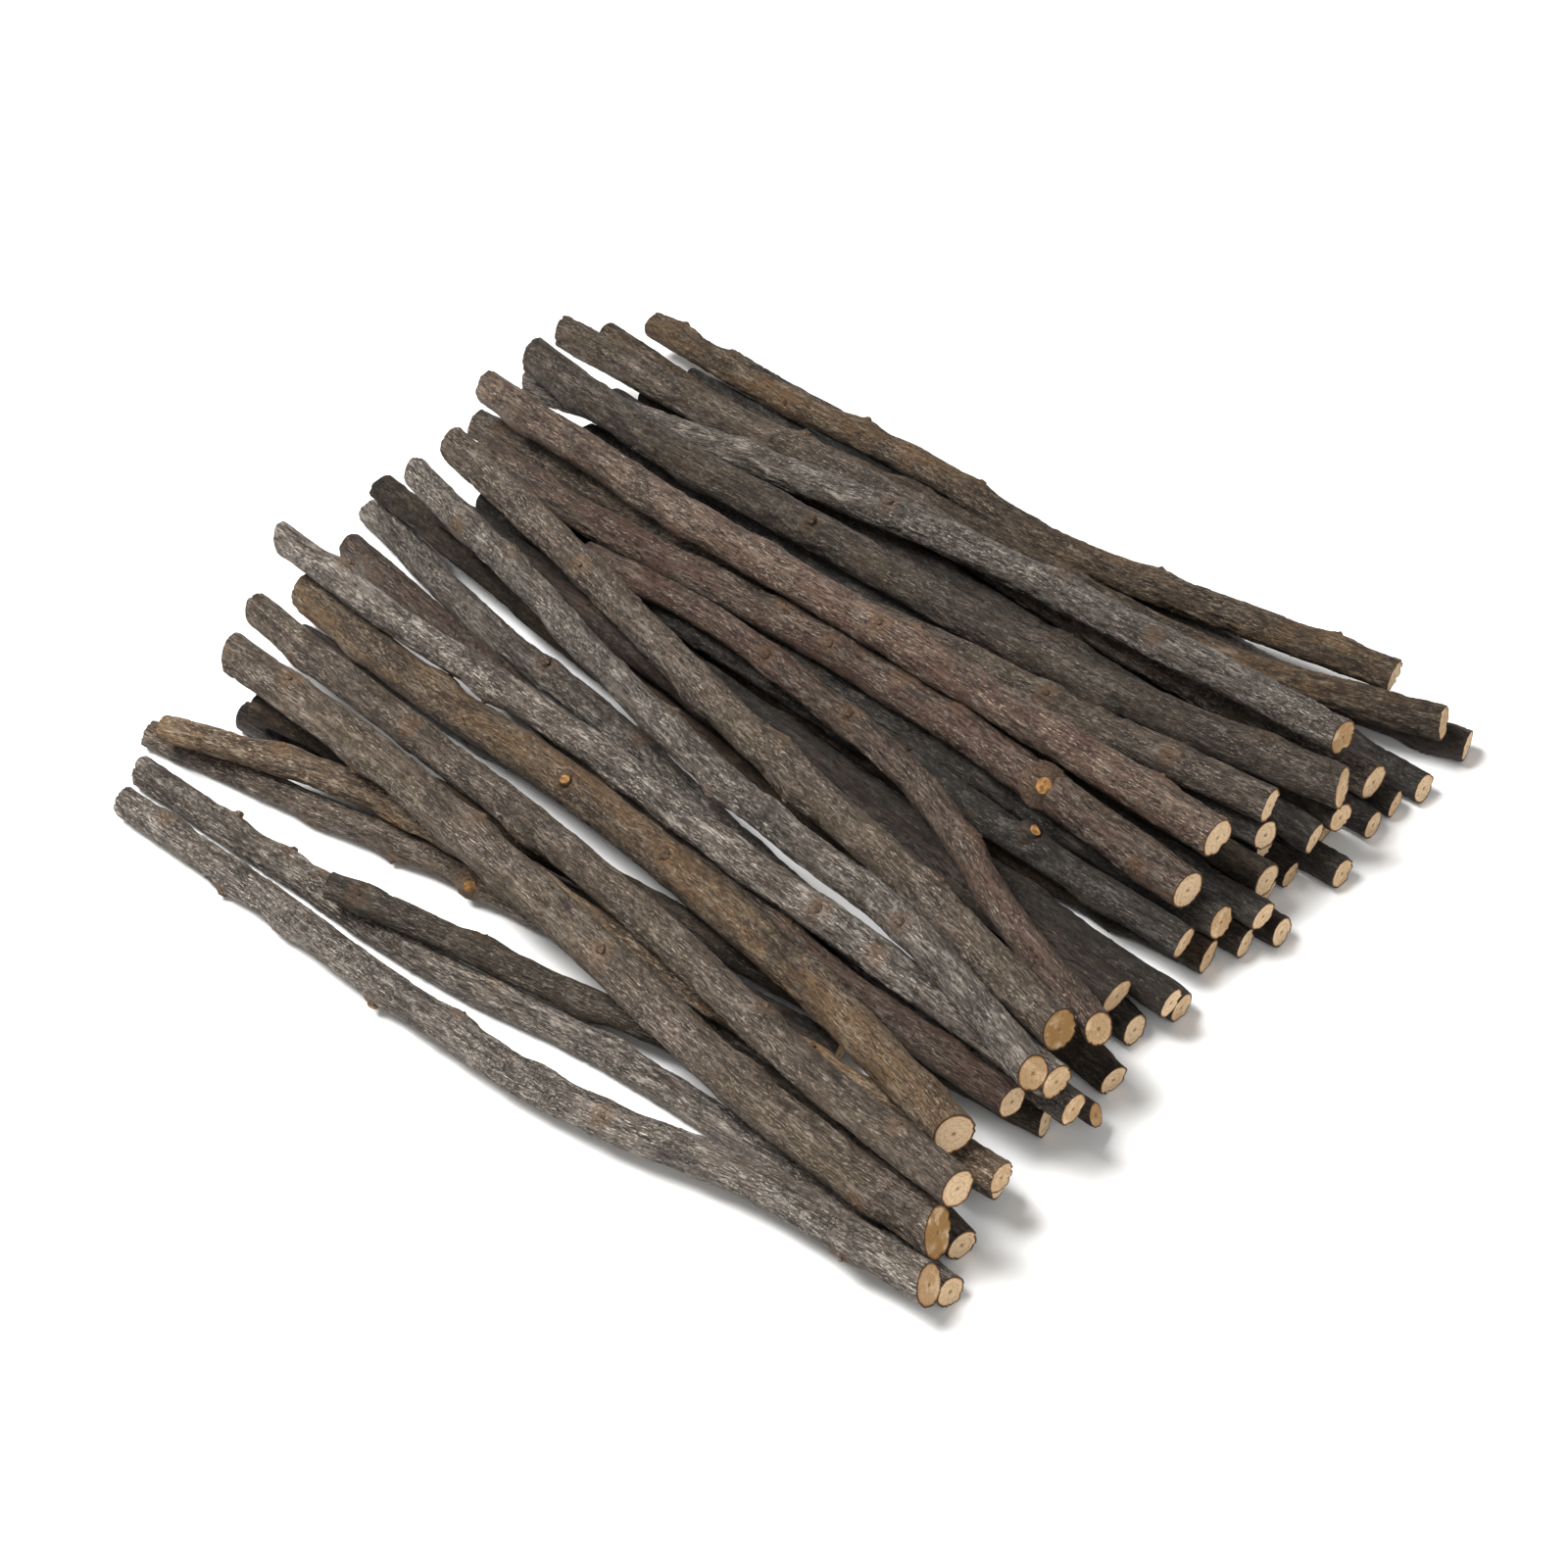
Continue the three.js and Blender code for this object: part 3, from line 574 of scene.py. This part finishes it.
def scar_material():
    """The healed top of a bud or side shoot: bare weathered wood, orange-brown and mottled."""
    material, tree, shader = new_material("Healed branch scar")
    place = add(tree, "ShaderNodeTexCoord", out=3)
    blot = add(tree, "ShaderNodeTexNoise", {"Vector": place, "Scale": 1 / (0.9 * MM), "Detail": 4.0})
    share = add(tree, "ShaderNodeMapRange", {0: blot, 1: 0.35, 2: 0.65})
    colour = add(tree, "ShaderNodeMix",
                 {0: share, 6: (*linear("#5d4026"), 1), 7: (*linear("#a87a42"), 1)}, out=2, data_type="RGBA")
    tree.links.new(colour, shader.inputs["Base Color"])
    shader.inputs["Roughness"].default_value = 0.85
    shader.inputs["IOR"].default_value = 1.45
    bump = add(tree, "ShaderNodeBump", {"Strength": 0.8, "Distance": 0.2 * MM, "Height": blot})
    tree.links.new(bump, shader.inputs["Normal"])
    return material


# ---------------------------------------------------------------- settings

class BarkSettings(bpy.types.PropertyGroup):
    """How the bark stands on the rods, and how finely it is made."""
    step: FloatProperty(name="Step", description="Length of one ring of faces on an open twig",
                        default=0.55 * MM, min=0.1 * MM, unit="LENGTH")
    sides: IntProperty(name="Sides", description="Faces round an open twig", default=44, min=12)
    crack: FloatProperty(name="Crack depth", description="Depth of the splits in the bark",
                         default=0.35 * MM, min=0, unit="LENGTH")
    flake: FloatProperty(name="Flake height", description="How far the plates stand off",
                         default=0.16 * MM, min=0, unit="LENGTH")
    grit: FloatProperty(name="Grit height", description="Height of the fine roughness",
                        default=0.22 * MM, min=0, unit="LENGTH")
    swelling: FloatProperty(name="Swelling", description="How much the thickness varies",
                            default=1.0 * MM, min=0, unit="LENGTH")
    knot: FloatProperty(name="Knot swelling", description="How far a twig swells at a bud",
                        default=0.7 * MM, min=0, unit="LENGTH")
    wander: FloatProperty(name="Wander", description="How far the middle line strays",
                          default=0.45 * MM, min=0, unit="LENGTH")


def colour_setting(name, hex_colour):
    """A colour setting whose default is an sRGB hex value."""
    return FloatVectorProperty(name=name, description=f"{name} of the bark", subtype="COLOR",
                               default=linear(hex_colour), min=0, max=1)


class BarkColours(bpy.types.PropertyGroup):
    """The darkest, middle and flaking tones of each kind of bark, and the tone of its patches."""
    grey_dark: colour_setting("Grey, dark tone", "#29221d")
    grey_mid: colour_setting("Grey, middle tone", "#756a60")
    grey_light: colour_setting("Grey, flakes", "#c9bfb2")
    grey_patch: colour_setting("Grey, patches", "#544739")
    olive_dark: colour_setting("Olive, dark tone", "#29221a")
    olive_mid: colour_setting("Olive, middle tone", "#6a5a4c")
    olive_light: colour_setting("Olive, flakes", "#b5a799")
    olive_patch: colour_setting("Olive, patches", "#52442f")
    brown_dark: colour_setting("Brown, dark tone", "#281e16")
    brown_mid: colour_setting("Brown, middle tone", "#6c5743")
    brown_light: colour_setting("Brown, flakes", "#b5a58f")
    brown_patch: colour_setting("Brown, patches", "#7d6040")
    red_dark: colour_setting("Red, dark tone", "#291e19")
    red_mid: colour_setting("Red, middle tone", "#675243")
    red_light: colour_setting("Red, flakes", "#ab9d8c")
    red_patch: colour_setting("Red, patches", "#55372c")


class StageSettings(bpy.types.PropertyGroup):
    """The camera, the floor and the light."""
    azimuth: FloatProperty(name="Azimuth", description="Heading of the view, 0 looks along +Y",
                           default=math.radians(41.5), subtype="ANGLE")
    elevation: FloatProperty(name="Elevation", description="Height of the camera over the horizon",
                             default=math.radians(45), subtype="ANGLE")
    distance: FloatProperty(name="Distance", description="From the camera to what it looks at",
                            default=0.77, min=0.1, unit="LENGTH")
    lens: FloatProperty(name="Lens", description="Focal length in mm", default=88.4, min=10, unit="CAMERA")
    aim: FloatVectorProperty(name="Aim",
                             description="From under the pile's middle to what the camera looks at",
                             default=(0.0058, -0.0011, 0.0), subtype="TRANSLATION")
    floor: FloatVectorProperty(name="Floor", description="Colour of the floor", subtype="COLOR",
                               default=linear("#f2f1ef"), min=0, max=1)


# ---------------------------------------------------------------- operators

def stubs_of(number, rows, chord, rng):
    """Where the buds and scars of a twig stand, which way they point and how wide they are."""
    listed = [(share, angle, width) for twig, share, angle, width in SCARS if twig == number]
    for share in np.arange(0.08, 0.95, 0.17) + rng.uniform(-0.05, 0.05):
        if all(abs(share - other[0]) > 0.06 for other in listed):
            listed.append((share, rng.uniform(0, 360), rng.uniform(0.9, 1.5)))
    side = np.cross((0, 0, 1), chord)
    side /= np.linalg.norm(side)
    top = np.cross(chord, side)
    points, outward, wide = [], [], []
    for share, angle, width in listed:
        middle = rows[int(round(share * (len(rows) - 1)))]
        out = side * math.cos(math.radians(angle)) + top * math.sin(math.radians(angle))
        lean = out + chord * rng.uniform(0.2, 0.7)
        points.append(middle[:3] + out * (middle[3] + 0.12 * width * MM))
        outward.append(lean / np.linalg.norm(lean))
        wide.append((width * MM, width * MM, min(width, 2.5) * MM * rng.uniform(0.7, 1.1)))
    return spare_object("stubs", points, [], {"outward": outward, "wide": wide})


def grow_twig(node, tree, materials, settings):
    """Makes one finished twig on its CAD rod."""
    number = int(node.split("_")[1])
    rng = np.random.default_rng(number)
    rows, chord = rod_of(node)
    steps = np.linalg.norm(np.diff(rows[:, :3], axis=0), axis=1)
    along = np.concatenate([[0], np.cumsum(steps)])
    edges = [(i, i + 1) for i in range(len(rows) - 1)]
    path = spare_object(node + "_path", rows[:, :3], edges,
                        {"along": along, "thick": rows[:, 3] * ROD_SHRINK})
    stubs = stubs_of(number, rows, chord, rng)
    coarse = 1.0 if number in OPEN_TWIGS else COARSER
    lean = [tuple(rng.uniform(-0.15, 0.25, 2)), tuple(rng.uniform(-0.12, 0.15, 2)), rng.uniform(0, 0.5)]
    thin_cut, butt_cut, stain = CUTS.get(number, lean)
    values = {
        "Sides": int(settings.sides / coarse), "Rings": int(along[-1] / (settings.step * coarse)),
        "Stubs": stubs, "Length": float(along[-1]), "Chord": tuple(chord), "Seed": number * 0.377,
        # A buried twig's tone darkens its bark with painted shade as well as its own darker colour.
        "Tone": TONES.get(number, float(rng.uniform(*BURIED_BARK_AND_SHADE_TONES))), "Stain": float(stain),
        "Thin slant": (*thin_cut, 0.0), "Butt slant": (*butt_cut, 0.0),
        "Swelling": settings.swelling, "Crack depth": settings.crack, "Flake height": settings.flake,
        "Grit height": settings.grit, "Knot swelling": settings.knot, "Wander": settings.wander,
        "Bark": materials[0], "Sawn wood": materials[1], "Healed scar": materials[2],
    }
    grow = path.modifiers.new("Bark", "NODES")
    grow.node_group = tree
    for item in tree.interface.items_tree:
        if item.in_out == "INPUT" and item.name in values:
            grow[item.identifier] = values[item.name]
    ready = bpy.context.evaluated_depsgraph_get()
    mesh = bpy.data.meshes.new_from_object(path.evaluated_get(ready), preserve_all_data_layers=True,
                                           depsgraph=ready)
    if not mesh.polygons:
        raise RuntimeError(f"{node} came out empty")
    mesh.name = node + "_bark"
    path.modifiers.clear()
    mesh.set_sharp_from_angle(angle=math.radians(48))
    piece = bpy.data.objects.new("bark_" + node, mesh)
    bpy.context.scene.collection.objects.link(piece)
    for spare in (path, stubs):
        bpy.data.objects.remove(spare)
    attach(piece, "root")
    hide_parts(node)
    return piece


def shared(kind, name, make):
    """A tree or material that several operators use, made once."""
    return kind.get(name) or make()


def grow_kind(context, kind, bark_name, **shares):
    """Grows every twig whose rod has this kind of bark."""
    slot = "bark_" + kind
    colours = context.scene.twig_colours
    tones = [tuple(getattr(colours, f"{kind}_{part}")) for part in ("dark", "mid", "light", "patch")]
    bark = bark_material(bark_name, *tones, **shares)
    sawn = shared(bpy.data.materials, "Sawn sapwood", sawn_material)
    scar = shared(bpy.data.materials, "Healed branch scar", scar_material)
    tree = shared(bpy.data.node_groups, "Bark on a rod", bark_tree)
    nodes = [s["node"] for s in frame["record"]["subparts"] if s["material_slot"] == slot]
    if not nodes:
        raise RuntimeError(f"no rod has the slot {slot}")
    for node in nodes:
        grow_twig(node, tree, (bark, sawn, scar), context.scene.twig_bark)
    return {"FINISHED"}


class TWIGS_OT_grey(bpy.types.Operator):
    """Grow the twigs with flaking grey bark."""
    bl_idname = "twigs.grey"
    bl_label = "Grow grey twigs"
    bl_options = {"REGISTER", "UNDO"}

    def execute(self, context):
        return grow_kind(context, "grey", "Weathered grey bark",
                         tint_share=0.4, flake_share=0.42, cross_share=1.0, gloss=0.7)


class TWIGS_OT_olive(bpy.types.Operator):
    """Grow the twigs with smooth olive bark."""
    bl_idname = "twigs.olive"
    bl_label = "Grow olive twigs"
    bl_options = {"REGISTER", "UNDO"}

    def execute(self, context):
        return grow_kind(context, "olive", "Dry olive bark",
                         tint_share=0.5, flake_share=0.3, cross_share=0.5, gloss=0.7)


class TWIGS_OT_brown(bpy.types.Operator):
    """Grow the twigs with rough brown bark."""
    bl_idname = "twigs.brown"
    bl_label = "Grow brown twigs"
    bl_options = {"REGISTER", "UNDO"}

    def execute(self, context):
        return grow_kind(context, "brown", "Rough brown bark",
                         tint_share=0.7, flake_share=0.4, cross_share=0.5, gloss=0.8)


class TWIGS_OT_red(bpy.types.Operator):
    """Grow the twigs with thin maroon bark."""
    bl_idname = "twigs.red"
    bl_label = "Grow red twigs"
    bl_options = {"REGISTER", "UNDO"}

    def execute(self, context):
        return grow_kind(context, "red", "Thin maroon bark",
                         tint_share=0.5, flake_share=0.25, cross_share=0.2, gloss=0.5)


class TWIGS_OT_stage(bpy.types.Operator):
    """Set the floor, the light and the camera."""
    bl_idname = "twigs.stage"
    bl_label = "Set the stage"
    bl_options = {"REGISTER", "UNDO"}

    def execute(self, context):
        scene, look = context.scene, context.scene.twig_stage
        scene.view_settings.view_transform = "Standard"
        lowest = CAD_BOX[0][2]
        floor = bpy.data.meshes.new("floor")
        corners = [(x * 3, y * 3, lowest) for x, y in ((-1, -1), (1, -1), (1, 1), (-1, 1))]
        floor.from_pydata(corners, [], [(0, 1, 2, 3)])
        floor = bpy.data.objects.new("floor", floor)
        scene.collection.objects.link(floor)
        paint, _, shader = new_material("Matt studio floor")
        shader.inputs["Base Color"].default_value = (*look.floor, 1)
        shader.inputs["Roughness"].default_value = 0.9
        floor.data.materials.append(paint)

        scene.world = bpy.data.worlds.new("Studio")
        scene.world.use_nodes = True
        scene.world.node_tree.nodes["Background"].inputs["Color"].default_value = (1, 1, 1, 1)
        scene.world.node_tree.nodes["Background"].inputs["Strength"].default_value = 0.3
        lamps = (("key", (-0.7, -0.5, 1.5), 0.7, 54), ("fill", (1.1, -0.6, 0.9), 1.2, 7))
        for name, spot, size, power in lamps:
            lamp = bpy.data.lights.new(name, "AREA")
            lamp.size = size
            lamp.energy = power
            lamp = bpy.data.objects.new(name, lamp)
            lamp.location = spot
            lamp.rotation_euler = (Vector((0, 0, 0)) - Vector(spot)).to_track_quat("-Z", "Y").to_euler()
            scene.collection.objects.link(lamp)

        middle = (Vector(CAD_BOX[0]) + Vector(CAD_BOX[1])) / 2
        aim = Vector((middle.x, middle.y, lowest)) + Vector(look.aim)
        back = Vector((math.sin(look.azimuth) * math.cos(look.elevation),
                       -math.cos(look.azimuth) * math.cos(look.elevation), math.sin(look.elevation)))
        camera = bpy.data.cameras.new("camera")
        camera.lens = look.lens
        camera.sensor_width = 36
        camera = bpy.data.objects.new("camera", camera)
        camera.location = aim + back * look.distance
        camera.rotation_euler = (-back).to_track_quat("-Z", "Y").to_euler()
        scene.collection.objects.link(camera)
        scene.camera = camera
        return {"FINISHED"}


class TWIGS_PT_pile(bpy.types.Panel):
    """The pile's settings and the buttons that make it."""
    bl_label = "Twig pile"
    bl_idname = "TWIGS_PT_pile"
    bl_space_type = "VIEW_3D"
    bl_region_type = "UI"
    bl_category = "Twigs"

    def draw(self, context):
        for group in (context.scene.twig_bark, context.scene.twig_colours, context.scene.twig_stage):
            box = self.layout.box()
            for name in group.__annotations__:
                box.prop(group, name)
        for operator in OPERATORS:
            self.layout.operator(operator.bl_idname)


OPERATORS = (TWIGS_OT_stage, TWIGS_OT_grey, TWIGS_OT_olive, TWIGS_OT_brown, TWIGS_OT_red)
CLASSES = (BarkSettings, BarkColours, StageSettings, *OPERATORS, TWIGS_PT_pile)


def register():
    for cls in CLASSES:
        bpy.utils.register_class(cls)
    bpy.types.Scene.twig_bark = PointerProperty(type=BarkSettings)
    bpy.types.Scene.twig_colours = PointerProperty(type=BarkColours)
    bpy.types.Scene.twig_stage = PointerProperty(type=StageSettings)


def unregister():
    del bpy.types.Scene.twig_bark
    del bpy.types.Scene.twig_colours
    del bpy.types.Scene.twig_stage
    for cls in reversed(CLASSES):
        bpy.utils.unregister_class(cls)


def main():
    register()
    bpy.ops.twigs.stage()
    bpy.ops.twigs.grey()
    bpy.ops.twigs.olive()
    bpy.ops.twigs.brown()
    bpy.ops.twigs.red()


if __name__ == "__main__":
    main()
